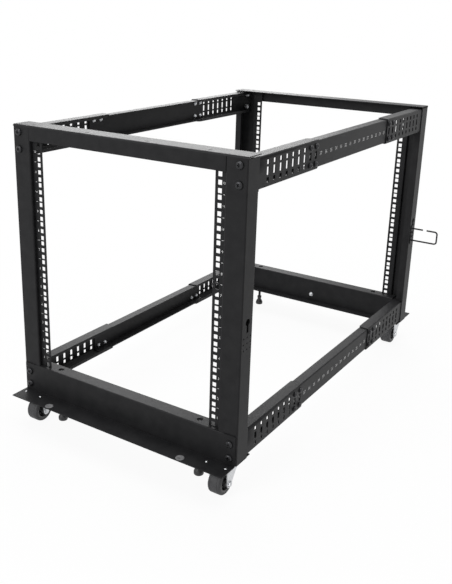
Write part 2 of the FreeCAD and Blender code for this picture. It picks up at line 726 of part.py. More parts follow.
def build_caster_tyre(name, corner):
    """Tyre ring with bevelled shoulders, on the outline of the wheel centre."""
    body = new_body(name)
    x, y = corner.across(D["caster_x"]), corner.depth(D["caster_y"]) - D["trail"]
    z, half = D["wheel_radius"], D["tyre_half"]
    ring = new_sketch(body, "YZ", "ring_outline", x - half)
    regular(ring, y, z, over_flats(D["wheel_radius"], WHEEL_SIDES), WHEEL_SIDES)
    regular(ring, y, z, D["rim_radius"], WHEEL_SIDES)
    tyre = pad(body, ring, "ring", half * 2.0)
    between = (D["rim_radius"].value + D["wheel_radius"].value) / 2.0

    def on_rim(point):
        """True on the outer corners of either side face."""
        side = abs(abs(point.x - x.value) - half.value) < 0.01
        return side and math.hypot(point.y - y.value, point.z - z.value) > between

    chamfer(body, tyre, "shoulders", edges_where(tyre, on_rim), D["shoulder"])
    return body


# --------------------------------------------------------------------------
# Feet and cable ring
# --------------------------------------------------------------------------
def build_levelling_foot(name, corner):
    """Round pad bevelled to a cone, wrench hexagon and threaded stem."""
    body = new_body(name)
    x, y, low = corner.across(D["foot_x"]), corner.depth(D["foot_y"]), D["foot_lift"]
    collar, cone_top = D["stem_radius"] + 2.0, low + 22.0
    outline = new_sketch(body, "XY", "pad_outline", low)
    regular(outline, x, y, D["pad_radius"], 16)
    disc = pad(body, outline, "pad", cone_top - low)
    upper = edges_where(disc, lambda point: abs(point.z - cone_top.value) < 0.01)
    cone = chamfer(body, disc, "cone", upper, D["pad_radius"] - collar, 16.0)
    lower = edges_where(cone, lambda point: abs(point.z - low.value) < 0.01)
    chamfer(body, cone, "pad_edge", lower, 1.5)
    for label, start, radius, sides, top in (
            ("hexagon", cone_top, collar + 1.0, 6, cone_top + 6.0),
            ("stem", cone_top + 6.0, D["stem_radius"], 12, D["unit_base"] - D["gauge"])):
        outline = new_sketch(body, "XY", label + "_outline", start)
        regular(outline, x, y, radius, sides)
        pad(body, outline, label, top - start)
    return body


def build_cable_hook(name, corner):
    """Bent rod with a gap in its upper run, on a small screwed plate."""
    body = new_body(name)
    x0, y, z = corner.across(D["half_width"]), corner.depth(D["accessory_y"]), D["ring_mid"]
    wide, tall, clip = 12.0, 28.0, 4.0
    outline = new_sketch(body, "YZ", "plate_outline", x0)
    polygon(outline, [(y - wide + clip, z - tall), (y + wide - clip, z - tall), (y + wide, z - tall + clip),
                      (y + wide, z + tall - clip), (y + wide - clip, z + tall), (y - wide + clip, z + tall),
                      (y - wide, z + tall - clip), (y - wide, z - tall + clip)])
    pad(body, outline, "plate", D["gauge"])
    root, tip = x0 + D["gauge"] - 0.5, x0 + D["ring_reach"]
    run = 30.0
    upper = new_sketch(body, "YZ", "upper_rod", root)
    regular(upper, y, z + D["ring_rise"], D["rod_radius"], 8)
    pad(body, upper, "upper_root", run)
    lower = new_sketch(body, "YZ", "lower_rod", root)
    regular(lower, y, z - D["ring_rise"], D["rod_radius"], 8)
    route = new_sketch(body, "XZ", "rod_route", y)
    section(route, [(root, z - D["ring_rise"], ZERO), (tip, z - D["ring_rise"], D["ring_bend"]),
                    (tip, z + D["ring_rise"], D["ring_bend"]),
                    (root + run + D["ring_gap"], z + D["ring_rise"], ZERO)], closed=False)
    rod = body.newObject("PartDesign::AdditivePipe", "bent_rod")
    rod.Profile = lower
    rod.Spine = (route, [])
    body.Tip = rod
    return body


# --------------------------------------------------------------------------
# The sub-parts
# --------------------------------------------------------------------------
for place, corner in CORNERS.items():
    build_post(place + "_post", corner)
for place, end in (("front", -1), ("rear", 1)):
    build_top_beam(place + "_top_beam", end)
    build_base_beam(place + "_base_beam", end)
for level, mid in (("top", D["top_rail_mid"]), ("bottom", D["base_rail_mid"])):
    for side, sign in (("left", -1), ("right", 1)):
        build_bracket("%s_%s_front_bracket" % (level, side), Corner(sign, -1), mid)
        build_middle_rail("%s_%s_middle_rail" % (level, side), sign, mid)
        build_bracket("%s_%s_rear_bracket" % (level, side), Corner(sign, 1), mid)
for place, corner in CORNERS.items():
    build_caster_plate(place + "_caster_plate", corner)
    build_caster_fork(place + "_caster_fork", corner)
    build_caster_wheel(place + "_caster_wheel", corner)
    build_caster_tyre(place + "_caster_tyre", corner)
    build_levelling_foot(place + "_levelling_foot", corner)
build_cable_hook("cable_hook", REAR_RIGHT)

doc.recompute()

# --------------------------------------------------------------------------
# Checks and export
# --------------------------------------------------------------------------
for obj in doc.Objects:
    bad = [state for state in obj.State if state in ("Invalid", "Error")]
    if bad:
        raise RuntimeError("%s in %s: %s" % (obj.Name, obj.getParentGeoFeatureGroup(), bad))
for body in NODES:
    shape = body.Shape
    if shape.isNull() or not shape.isValid() or shape.Volume <= 0 or len(shape.Solids) != 1:
        raise RuntimeError("%s is not one valid solid (%d)" % (body.Label, len(shape.Solids)))

os.makedirs("parts", exist_ok=True)
for body in NODES:
    body.Shape.exportStep("parts/%s.step" % body.Label)
    box = body.Shape.BoundBox
    print("%-28s %10.1f mm3  %8.1f %8.1f %8.1f  %8.1f %8.1f %8.1f" % (
        body.Label, body.Shape.Volume, box.XMin, box.YMin, box.ZMin, box.XMax, box.YMax, box.ZMax))
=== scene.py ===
"""Finishes, fasteners and fittings of an open four-post rack on casters.

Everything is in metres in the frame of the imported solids: +X to the right,
+Y to the rear, +Z up, origin on the floor in the middle of the rack.
"""

import json
import logging
import math
from dataclasses import dataclass
from enum import Enum

import bmesh
import bpy
from mathutils import Matrix, Vector


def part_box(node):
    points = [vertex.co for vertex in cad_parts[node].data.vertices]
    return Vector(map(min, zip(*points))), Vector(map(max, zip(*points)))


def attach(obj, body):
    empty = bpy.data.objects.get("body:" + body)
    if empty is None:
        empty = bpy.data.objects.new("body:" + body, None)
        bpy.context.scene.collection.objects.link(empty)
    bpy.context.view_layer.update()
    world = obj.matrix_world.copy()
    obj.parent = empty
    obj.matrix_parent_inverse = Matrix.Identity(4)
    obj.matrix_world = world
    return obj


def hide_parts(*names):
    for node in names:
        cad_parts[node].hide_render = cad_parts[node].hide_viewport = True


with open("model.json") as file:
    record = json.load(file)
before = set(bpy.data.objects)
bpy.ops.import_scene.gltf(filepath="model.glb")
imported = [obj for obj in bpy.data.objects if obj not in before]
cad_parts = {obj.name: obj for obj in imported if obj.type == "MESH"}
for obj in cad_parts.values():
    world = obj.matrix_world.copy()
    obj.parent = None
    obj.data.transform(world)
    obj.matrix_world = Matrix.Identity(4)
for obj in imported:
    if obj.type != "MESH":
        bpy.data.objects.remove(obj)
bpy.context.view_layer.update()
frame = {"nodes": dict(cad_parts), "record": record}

LOG = logging.getLogger("rack")
MM = 0.001
SHEET = 2.0 * MM

Pair = tuple[float, float]
Colour = tuple[float, float, float]
Point = tuple[float, float, float]
Seats = list[tuple[Point, Point]]
Socket = bpy.types.NodeSocket
Shape = bmesh.types.BMesh
Mesh = bpy.types.Mesh
Material = bpy.types.Material
Object = bpy.types.Object

UP: Point = (0, 0, 1)
DOWN: Point = (0, 0, -1)
WHITE = (1, 1, 1, 1)

# Names of the places on the rack, each with its sign along Y or X.
ENDS = (("front", -1), ("rear", 1))
SIDES = (("left", -1), ("right", 1))
RAILS = tuple((f"{level}_{side}", sign) for level in ("top", "bottom") for side, sign in SIDES)
CORNERS = tuple(f"{place}_{side}" for place, _ in ENDS for side, _ in SIDES)


# Node trees
class Bench:
    """A node tree with a short call for adding nodes that are already joined."""

    def __init__(self, tree: bpy.types.NodeTree) -> None:
        """Take over a shader or geometry tree and empty it."""
        self.tree = tree
        tree.nodes.clear()

    def fill(self, node: bpy.types.Node, inputs: dict) -> bpy.types.Node:
        """Set a node's inputs.

        Args:
            node: The node.
            inputs: For each input, by name or number, its value or the output that feeds it.

        Returns:
            The node.
        """
        for key, value in inputs.items():
            if isinstance(value, Socket):
                self.tree.links.new(value, node.inputs[key])
            else:
                node.inputs[key].default_value = value
        return node

    def add(self, kind: str, inputs: dict | None = None, **settings: object) -> bpy.types.Node:
        """Add a node.

        Args:
            kind: The node's type name.
            inputs: Its inputs, as fill takes them.
            **settings: The node's own options.

        Returns:
            The new node.
        """
        node = self.tree.nodes.new(kind)
        for name, value in settings.items():
            setattr(node, name, value)
        return self.fill(node, inputs or {})


class Shader(Bench):
    """The node tree of one finish, around a Principled BSDF."""

    usual: Pair = (0.3, 0.7)  # the range that most of a noise falls in

    def __init__(self, name: str) -> None:
        """Start a material.

        Args:
            name: The material's name.
        """
        self.material = bpy.data.materials.new(name)
        self.material.use_nodes = True
        super().__init__(self.material.node_tree)
        self.surface = self.add("ShaderNodeBsdfPrincipled")
        self.add("ShaderNodeOutputMaterial", {"Surface": self.surface.outputs["BSDF"]})
        self.place = self.add("ShaderNodeTexCoord").outputs["Object"]

    def noise(self, cell: float, detail: float = 2.0, stretch: Point = (1, 1, 1)) -> Socket:
        """Cloudy noise.

        Args:
            cell: Size of one cell in metres.
            detail: Octaves of finer noise.
            stretch: How much longer the cells are along each axis.

        Returns:
            The noise's value, around 0.5.
        """
        mapping = self.add("ShaderNodeMapping", {"Scale": [1.0 / s for s in stretch], "Vector": self.place})
        return self.add("ShaderNodeTexNoise", {"Scale": 1.0 / cell, "Detail": detail,
                                               "Vector": mapping.outputs["Vector"]}).outputs["Fac"]

    def remap(self, noise: Socket, low: float, high: float) -> Socket:
        """Spread a noise between two bounds over its usual range."""
        return self.add("ShaderNodeMapRange", {
            "Value": noise, "From Min": self.usual[0], "From Max": self.usual[1],
            "To Min": low, "To Max": high}).outputs["Result"]

    def blend(self, noise: Socket, dark: Colour, light: Colour) -> Socket:
        """Mix two linear colours, dark where a noise is low and light where it is high."""
        return self.add("ShaderNodeMix", {0: self.remap(noise, 0.0, 1.0), 6: (*dark, 1.0),
                                          7: (*light, 1.0)}, data_type="RGBA").outputs[2]

    def bump(self, height: Socket, depth: float) -> Socket:
        """The normal of a relief whose full step is as deep as given, in metres."""
        return self.add("ShaderNodeBump", {"Strength": 1.0, "Distance": depth,
                                           "Height": height}).outputs["Normal"]

    def coat(self, **values: float | Socket) -> None:
        """Set or feed sockets of the surface; an underscore stands for a space."""
        self.fill(self.surface, {name.replace("_", " "): value for name, value in values.items()})


# Finishes
@dataclass(frozen=True)
class Skin:
    """A finish: one linear colour clouded with another, and often a fine grain."""

    name: str
    dark: Colour
    light: Colour
    roughness: Pair
    cloud: float = 12.0 * MM
    cloud_detail: float = 4.0
    grain: float = 0.0
    grain_detail: float = 2.0
    stretch: Point = (1, 1, 1)
    relief: float = 0.0
    sheen_from_grain: bool = False
    metal: float = 0.0
    gloss: float = 0.5

    def make(self) -> Material:
        """Build the material.

        Returns:
            The material.
        """
        shader = Shader(self.name)
        clouds = sheen = shader.noise(self.cloud, self.cloud_detail)
        if self.grain:
            fine = shader.noise(self.grain, self.grain_detail, self.stretch)
            sheen = fine if self.sheen_from_grain else clouds
            shader.coat(Normal=shader.bump(fine, self.relief))
        shader.coat(Metallic=self.metal, Specular_IOR_Level=self.gloss,
                    Base_Color=shader.blend(clouds, self.dark, self.light),
                    Roughness=shader.remap(sheen, *self.roughness))
        return shader.material


@dataclass(frozen=True)
class PowderCoat(Skin):
    """Fine-textured black powder coat on sheet steel."""

    name: str = "black_powder_coat"
    dark: Colour = (0.0135, 0.0135, 0.0145)
    light: Colour = (0.0195, 0.0195, 0.0205)
    roughness: Pair = (0.38, 0.50)
    cloud: float = 27.0 * MM
    cloud_detail: float = 3.0
    grain: float = 0.9 * MM
    grain_detail: float = 3.0
    relief: float = 0.05 * MM
    sheen_from_grain: bool = True
    gloss: float = 0.12


@dataclass(frozen=True)
class ZincPlate(Skin):
    """Bright zinc plate with a faint cloudy spangle and a brushed grain."""

    name: str = "bright_zinc"
    dark: Colour = (0.50, 0.51, 0.53)
    light: Colour = (0.68, 0.69, 0.70)
    roughness: Pair = (0.24, 0.42)
    cloud: float = 7.0 * MM
    grain: float = 0.6 * MM
    stretch: Point = (1, 1, 12)
    relief: float = 0.01 * MM
    sheen_from_grain: bool = True
    metal: float = 1.0


@dataclass(frozen=True)
class Moulded(Skin):
    """Moulded rubber or plastic: a fine skin and soft wear."""

    grain: float = 0.5 * MM
    relief: float = 0.03 * MM


@dataclass(frozen=True)
class BlackOxide(Skin):
    """Blackened steel of screws, smoother than the powder coat."""

    name: str = "black_oxide"
    dark: Colour = (0.022, 0.022, 0.024)
    light: Colour = (0.050, 0.050, 0.053)
    roughness: Pair = (0.26, 0.40)
    cloud: float = 2.0 * MM
    metal: float = 0.7
    gloss: float = 0.35


@dataclass(frozen=True)
class PrintInk(Skin):
    """Screen-printed pale ink, slightly patchy."""

    name: str = "print_ink"
    dark: Colour = (0.68, 0.68, 0.68)
    light: Colour = (0.80, 0.80, 0.80)
    roughness: Pair = (0.5, 0.65)
    cloud: float = 1.5 * MM
    cloud_detail: float = 3.0


MADE: dict[str, Material] = {}


class Finish(Enum):
    """The finishes found on the rack."""

    POWDER = PowderCoat()
    ZINC = ZincPlate()
    RUBBER = Moulded("tyre_rubber", (0.030, 0.030, 0.032), (0.055, 0.055, 0.058), (0.55, 0.69))
    WHEEL = Moulded("wheel_plastic", (0.045, 0.045, 0.047), (0.07, 0.07, 0.072), (0.35, 0.49))
    PAD = Moulded("foot_plastic", (0.014, 0.014, 0.015), (0.022, 0.022, 0.023), (0.41, 0.55))
    # Painted shade: a flat mid grey for the shadowed floor seen through the anchor holes of the base beams,
    # put on discs that fill those holes.
    PLUG = Moulded("hole_shade_grey", (0.15, 0.15, 0.155), (0.21, 0.21, 0.215), (0.31, 0.45))
    SCREW = BlackOxide()
    INK = PrintInk()

    def material(self) -> Material:
        """The finish's material, built on first use.

        Returns:
            The material.
        """
        if self.value.name not in MADE:
            MADE[self.value.name] = self.value.make()
        return MADE[self.value.name]


# Meshes and pieces
def stand(name: str, data: bpy.types.ID) -> Object:
    """Put an object in the scene.

    Args:
        name: Its name.
        data: Its mesh, curve, lamp or camera.

    Returns:
        The object.
    """
    thing = bpy.data.objects.new(name, data)
    bpy.context.scene.collection.objects.link(thing)
    return thing


def plain_mesh(holder: Object) -> Mesh:
    """What an object with a modifier or a curve looks like, as a mesh of its own."""
    graph = bpy.context.evaluated_depsgraph_get()
    return bpy.data.meshes.new_from_object(holder.evaluated_get(graph), depsgraph=graph)


def outward(made: Shape) -> Shape:
    """Turn a shape's faces outwards and hand it back."""
    bmesh.ops.recalc_face_normals(made, faces=made.faces)
    return made


def pour(part: Shape, whole: Shape) -> None:
    """Move a shape into another and free it.

    Args:
        part: The shape that is used up.
        whole: The shape that grows.
    """
    spare = bpy.data.meshes.new("spare")
    part.to_mesh(spare)
    part.free()
    whole.from_mesh(spare)
    bpy.data.meshes.remove(spare)


def set_piece(name: str, mesh: Mesh, body: str, finish: Finish | None = None) -> Object:
    """Make a mesh a piece that rides on a body.

    Args:
        name: The piece's name.
        mesh: The mesh, placed in the rack's frame.
        body: The body that carries it.
        finish: Finish, where the mesh has none yet.

    Returns:
        The object.
    """
    piece = stand(name, mesh)
    if finish is not None:
        mesh.materials.clear()
        mesh.materials.append(finish.material())
    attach(piece, body)
    LOG.info("piece %s on %s: %d faces", name, body, len(mesh.polygons))
    return piece


def solid_mesh(name: str, parts: list[Shape], place: Matrix | None = None, crease: float = 35.0) -> Mesh:
    """Join closed shapes into one mesh and free them.

    Args:
        name: Name of the mesh.
        parts: The shapes.
        place: Where the whole is moved to.
        crease: Edges sharper than this many degrees stay sharp.

    Returns:
        The mesh, shaded smooth between its sharp edges.
    """
    whole = bmesh.new()
    for part in parts:
        pour(part, whole)
    if place is not None:
        bmesh.ops.transform(whole, matrix=place, verts=whole.verts)
    mesh = bpy.data.meshes.new(name)
    whole.to_mesh(mesh)
    whole.free()
    mesh.polygons.foreach_set("use_smooth", [True] * len(mesh.polygons))
    mesh.set_sharp_from_angle(angle=math.radians(crease))
    return mesh


def set_solid(name: str, parts: list[Shape], body: str, finish: Finish,
              place: Matrix | None = None, crease: float = 35.0) -> Object:
    """Make closed shapes a piece, with what solid_mesh and set_piece ask for."""
    return set_piece(name, solid_mesh(name, parts, place, crease), body, finish)


def lathe(profile: list[Pair], segments: int, ring: bool = False) -> Shape:
    """Turn a profile about Z.

    Args:
        profile: Radius and height of each point; a radius of 0 closes the end.
        segments: Faces round the axis.
        ring: Join the last point to the first.

    Returns:
        The surface.
    """
    made = bmesh.new()
    rings = [[made.verts.new((radius * math.cos(a), radius * math.sin(a), height))
              for a in (math.tau * i / segments for i in range(segments if radius else 1))]
             for radius, height in profile]
    for low, high in zip(rings, rings[1:] + (rings[:1] if ring else [])):
        for i in range(segments):
            j = (i + 1) % segments
            corners = [low[i % len(low)], low[j % len(low)], high[j % len(high)], high[i % len(high)]]
            unique = list(dict.fromkeys(corners))
            if len(unique) > 2:
                made.faces.new(unique)
    return outward(made)


def mirrored(edge: list[Pair]) -> list[Pair]:
    """A profile, and then its image below the plane of height 0."""
    return edge + [(radius, -height) for radius, height in reversed(edge)]


def slab(low: Point, high: Point, round_off: float) -> Shape:
    """A flat bar with softened edges.

    Args:
        low: Its lowest corner.
        high: Its highest corner.
        round_off: How far the edges are rounded.

    Returns:
        The closed shape.
    """
    made = bmesh.new()
    bmesh.ops.create_cube(made, size=1.0)
    for vert in made.verts:
        vert.co = Vector([a + (b - a) * (c + 0.5) for a, b, c in zip(low, high, vert.co)])
    bmesh.ops.bevel(made, geom=list(made.edges), offset=round_off, segments=2, affect="EDGES")
    return outward(made)


def seat(origin: Point, right: Point, up: Point) -> Matrix:
    """A frame that stands on a surface.

    Args:
        origin: Its origin.
        right: Its first axis.
        up: Its second axis; the third one points away from the surface.

    Returns:
        The frame's matrix.
    """
    first, second = Vector(right), Vector(up)
    turn = Matrix((first, second, first.cross(second))).transposed()
    return Matrix.Translation(origin) @ turn.to_4x4()


class Print:
    """Thin printed characters and bars, gathered into one mesh."""

    thickness: float = 0.08 * MM
    edge: float = 0.02 * MM
    line: float = 0.7  # height of a digit as a share of the type size

    def __init__(self) -> None:
        """Start an empty print."""
        self.whole = bmesh.new()

    def write(self, text: str, height: float, place: Matrix) -> None:
        """Add characters.

        Args:
            text: The characters.
            height: Height of a digit.
            place: The seat that they are centred on.
        """
        curve = bpy.data.curves.new("digits", "FONT")
        curve.body, curve.size = text, height / self.line
        curve.extrude, curve.resolution_u = self.thickness / 2.0, 2
        holder = stand("digits", curve)
        mesh = plain_mesh(holder)
        bpy.data.objects.remove(holder)
        spots = [v.co for v in mesh.vertices]
        middle = [(min(p[i] for p in spots) + max(p[i] for p in spots)) / 2.0 for i in (0, 1)]
        mesh.transform(Matrix.Translation((-middle[0], -middle[1], self.thickness / 2.0)))
        mesh.transform(place)
        self.whole.from_mesh(mesh)
        bpy.data.meshes.remove(mesh)

    def bar(self, width: float, height: float, place: Matrix) -> None:
        """Add a short bar.

        Args:
            width: Its width.
            height: Its height.
            place: The seat that it is centred on.
        """
        x, y = width / 2.0, height / 2.0
        made = slab((-x, -y, 0.0), (x, y, self.thickness), self.edge)
        bmesh.ops.transform(made, matrix=place, verts=made.verts)
        pour(made, self.whole)

    def mesh(self, name: str) -> Mesh:
        """Finish the print.

        Args:
            name: Name of the mesh.

        Returns:
            The mesh.
        """
        bmesh.ops.remove_doubles(self.whole, verts=self.whole.verts, dist=1e-6)
        outward(self.whole)
        mesh = bpy.data.meshes.new(name)
        self.whole.to_mesh(mesh)
        self.whole.free()
        return mesh


class Head(Enum):
    """Kinds of head: the sides and the profile of each closed part.

    Profiles are in shares of the head's own radius and height.
    """

    PAN = ((24, ((0, 0), (0.97, 0), (1, 0.12), (0.99, 0.42), (0.93, 0.68), (0.80, 0.87),
                 (0.62, 1))),)
    HEX = ((24, ((0, 0), (1, 0), (1, 0.16), (0.94, 0.24), (0, 0.24))),
           (6, ((0, 0.2), (0.80, 0.2), (0.80, 0.92), (0.70, 1), (0, 1))))
    NUT = ((24, ((0, 0), (1.12, 0), (1.12, 0.14), (0, 0.14))),
           (6, ((0, 0.12), (0.9, 0.12), (1, 0.24), (1, 0.6), (0.88, 0.7), (0, 0.7))),
           (16, ((0, 0.6), (0.5, 0.6), (0.5, 0.9), (0.4, 1), (0, 1))))
    RIVET = ((24, ((0, 0), (1, 0), (0.96, 0.35), (0.8, 0.7), (0.5, 0.94), (0, 1))),)
    DISC = ((40, ((0, 0), (1, 0), (1, 0.45), (0.95, 0.85), (0.86, 1), (0.74, 0.7),
                  (0, 0.66))),)


@dataclass(frozen=True)
class Fastener:
    """A head that stands on a surface, its height along +Z from 0.

    The cross recess of a pan head is in shares of its radius and height.
    """

    head: Head
    diameter: float
    height: float
    arm: float = 0.46
    arm_half: float = 0.11
    taper: float = 0.7
    floor: float = 0.45
    crease: float = 40.0

    def template(self) -> Mesh:
        """Build the head.

        Returns:
            Its mesh.
        """
        radius = self.diameter / 2.0
        shapes = [lathe([(radius * r, self.height * z) for r, z in profile], sides)
                  for sides, profile in self.head.value]
        if self.head is Head.PAN:
            self.recess(shapes[0])
        return solid_mesh(f"{self.head.name.lower()}_head", shapes, crease=self.crease)

    def recess(self, made: Shape) -> None:
        """Close the open top of a dome with a cross sunk into it.

        Args:
            made: The dome.
        """
        radius, height = self.diameter / 2.0, self.height
        rim = [e for e in made.edges if e.is_boundary and e.verts[0].co.z > height * 0.99]
        arm, half = radius * self.arm, radius * self.arm_half
        outline = [Matrix.Rotation(turn * math.pi / 2.0, 3, "Z") @ Vector((x, y, height))
                   for turn in range(4) for x, y in ((half, half), (arm, half), (arm, -half))]
        cross = [made.verts.new(p) for p in sorted(outline, key=lambda p: math.atan2(p.y, p.x))]
        ring = [made.edges.new((a, b)) for a, b in zip(cross, cross[1:] + cross[:1])]
        bmesh.ops.triangle_fill(made, edges=rim + ring, use_beauty=True)
        cut = [f for f in made.faces if all(v in cross for v in f.verts)]
        bmesh.ops.delete(made, geom=cut, context="FACES_ONLY")
        sunk = bmesh.ops.extrude_edge_only(made, edges=ring)["geom"]
        floor = [g for g in sunk if isinstance(g, bmesh.types.BMVert)]
        for vert in floor:
            vert.co = Vector((vert.co.x * self.taper, vert.co.y * self.taper, height * self.floor))
        bmesh.ops.contextual_create(made, geom=[e for e in made.edges
                                                if e.verts[0] in floor and e.verts[1] in floor])
        outward(made)


class Repeater:
    """Places copies of a template on points, as a Geometry Nodes tree."""

    def __init__(self) -> None:
        """Build the tree with its named inputs."""
        self.tree = bpy.data.node_groups.new("repeat_on_points", "GeometryNodeTree")
        face = self.tree.interface
        face.new_socket("Geometry", in_out="OUTPUT", socket_type="NodeSocketGeometry")
        for name, kind in (("Geometry", "Geometry"), ("Template", "Object"), ("Size", "Float"),
                           ("Free Turn", "Float"), ("Seed", "Int"), ("Finish", "Material")):
            face.new_socket(name, in_out="INPUT", socket_type=f"NodeSocket{kind}")
        self.sockets = {item.name: item.identifier for item in face.items_tree
                        if item.in_out == "INPUT"}
        bench = Bench(self.tree)
        start = bench.add("NodeGroupInput").outputs
        facing = bench.add("GeometryNodeInputNamedAttribute", {"Name": "facing"},
                           data_type="FLOAT_VECTOR")
        aim = bench.add("FunctionNodeAlignRotationToVector", {"Vector": facing.outputs[0]}, axis="Z")
        spin = bench.add("FunctionNodeRandomValue", {3: start["Free Turn"], "Seed": start["Seed"]},
                         data_type="FLOAT")
        turn = bench.add("FunctionNodeAxisAngleToRotation", {"Axis": UP, "Angle": spin.outputs[1]})
        both = bench.add("FunctionNodeRotateRotation", {0: aim.outputs[0], 1: turn.outputs[0]},
                         rotation_space="LOCAL")
        shape = bench.add("GeometryNodeObjectInfo", {"As Instance": True, "Object": start["Template"]})
        place = bench.add("GeometryNodeInstanceOnPoints", {
            "Points": start["Geometry"], "Instance": shape.outputs["Geometry"],
            "Rotation": both.outputs[0], "Scale": start["Size"]})
        real = bench.add("GeometryNodeRealizeInstances", {0: place.outputs[0]})
        paint = bench.add("GeometryNodeSetMaterial", {"Geometry": real.outputs[0],
                                                      "Material": start["Finish"]})
        bench.add("NodeGroupOutput", {"Geometry": paint.outputs[0]})

    def fit(self, name: str, kind: Fastener, points: Seats, finish: Finish, body: str) -> None:
        """Place fasteners, each turned at random about its facing, as one piece.

        Args:
            name: The piece's name.
            kind: What is repeated.
            points: Place and facing of each copy.
            finish: Finish of the copies.
            body: The body that carries them.
        """
        seats = bpy.data.meshes.new(name + "_seats")
        seats.from_pydata([p for p, _ in points], [], [])
        facing = seats.attributes.new("facing", "FLOAT_VECTOR", "POINT")
        facing.data.foreach_set("vector", [c for _, way in points for c in way])
        holder, model = stand(name + "_seats", seats), stand(name + "_template", kind.template())
        modifier = holder.modifiers.new("repeat", "NODES")
        modifier.node_group = self.tree
        for socket, value in (("Template", model), ("Size", 1.0), ("Free Turn", math.tau),
                              ("Seed", len(points)), ("Finish", finish.material())):
            modifier[self.sockets[socket]] = value
        mesh = plain_mesh(holder)
        mesh.name = name
        for thing in (holder, model):
            bpy.data.objects.remove(thing)
        set_piece(name, mesh, body)


# The rack's dressing
@dataclass
class Coatings:
    """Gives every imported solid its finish."""

    def dress(self) -> None:
        """Set the material of each node by what it is."""
        kinds = (("fork", Finish.ZINC), ("caster_plate", Finish.ZINC), ("tyre", Finish.RUBBER),
                 ("caster_wheel", Finish.WHEEL), ("levelling_foot", Finish.PAD))
        for name, node in frame["nodes"].items():
            finish = next((f for part, f in kinds if part in name), Finish.POWDER)
            node.data.materials.clear()
            node.data.materials.append(finish.material())
            LOG.info("node %s in %s", name, finish.value.name)


def mounting_face(place: str) -> float:
    """Depth of the front or the rear mounting face, from the record."""
    mounts = frame["record"]["mounts"]
    return next(m["pos_m"][1] for m in mounts if m["name"] == f"{place}_left_square_holes")


def outer_x(node: str, sign: int) -> float:
    """Where the outer side of a node lies on X; the sign is that of the node's side."""
    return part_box(node)[0 if sign < 0 else 1].x


def middle_z(node: str) -> float:
    """Height of a node's middle."""
    low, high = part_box(node)
    return (low.z + high.z) / 2.0


@dataclass
class FrameScrews:
    """Screws and nuts that hold the beams, brackets and rails together."""

    repeater: Repeater
    gauge: float = SHEET
    across: float = 280.0 * MM
    upper: Pair = (694.0 * MM, 657.0 * MM)
    lower: Pair = (122.5 * MM, 91.0 * MM)
    columns: Pair = (246.8 * MM, 272.2 * MM)
    column_rise: float = 18.5 * MM
    frame_screw: Fastener = Fastener(Head.PAN, 16.0 * MM, 5.0 * MM)
    frame_nut: Fastener = Fastener(Head.NUT, 13.5 * MM, 8.0 * MM)
    rail_screw: Fastener = Fastener(Head.PAN, 12.5 * MM, 4.4 * MM)
    rail_nut: Fastener = Fastener(Head.NUT, 10.5 * MM, 5.5 * MM)

    def dress(self) -> None:
        """Add the screws and nuts of the front and rear frames and of the rails."""
        inside: Seats = []
        for place, end in ENDS:
            outer, inner, rails, held = self.seats(place, end)
            inside += held
            for name, kind, points, finish in (
                    ("frame_screws", self.frame_screw, outer, Finish.SCREW),
                    ("frame_nuts", self.frame_nut, inner, Finish.ZINC),
                    ("rail_screws", self.rail_screw, rails, Finish.SCREW)):
                self.repeater.fit(f"{place}_{name}", kind, points, finish, f"{place}_frame")
        self.repeater.fit("middle_rail_nuts", self.rail_nut, inside, Finish.ZINC, "middle_rails")

    def seats(self, place: str, end: int) -> tuple[Seats, Seats, Seats, Seats]:
        """Where the screws and nuts of a frame stand.

        Args:
            place: The frame, front or rear.
            end: Its sign along Y.

        Returns:
            The seats outside the posts and the base beam's web, behind the bracket tabs,
            outside the webs of the rail brackets and inside those of the middle rails.
        """
        low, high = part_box(place + "_left_post")
        face = low.y if end < 0 else high.y
        web, back = face + self.gauge * end, face - 2.0 * self.gauge * end
        outer, inner, rails, held = [], [], [], []
        for _, side in SIDES:
            for plane, heights in ((face, self.upper), (web, self.lower)):
                for height in heights:
                    outer.append(((side * self.across, plane, height), (0, end, 0)))
                    inner.append(((side * self.across, back, height), (0, -end, 0)))
        for rail, sign in RAILS:
            bracket = f"{rail}_{place}_bracket"
            outside = outer_x(bracket, sign)
            inside = outer_x(f"{rail}_middle_rail", sign) - sign * self.gauge
            for column in self.columns:
                for rise in (-1, 1):
                    depth = mounting_face(place) - end * column
                    height = middle_z(bracket) + rise * self.column_rise
                    rails.append(((outside, depth, height), (sign, 0, 0)))
                    held.append(((inside, depth, height), (-sign, 0, 0)))
        return outer, inner, rails, held


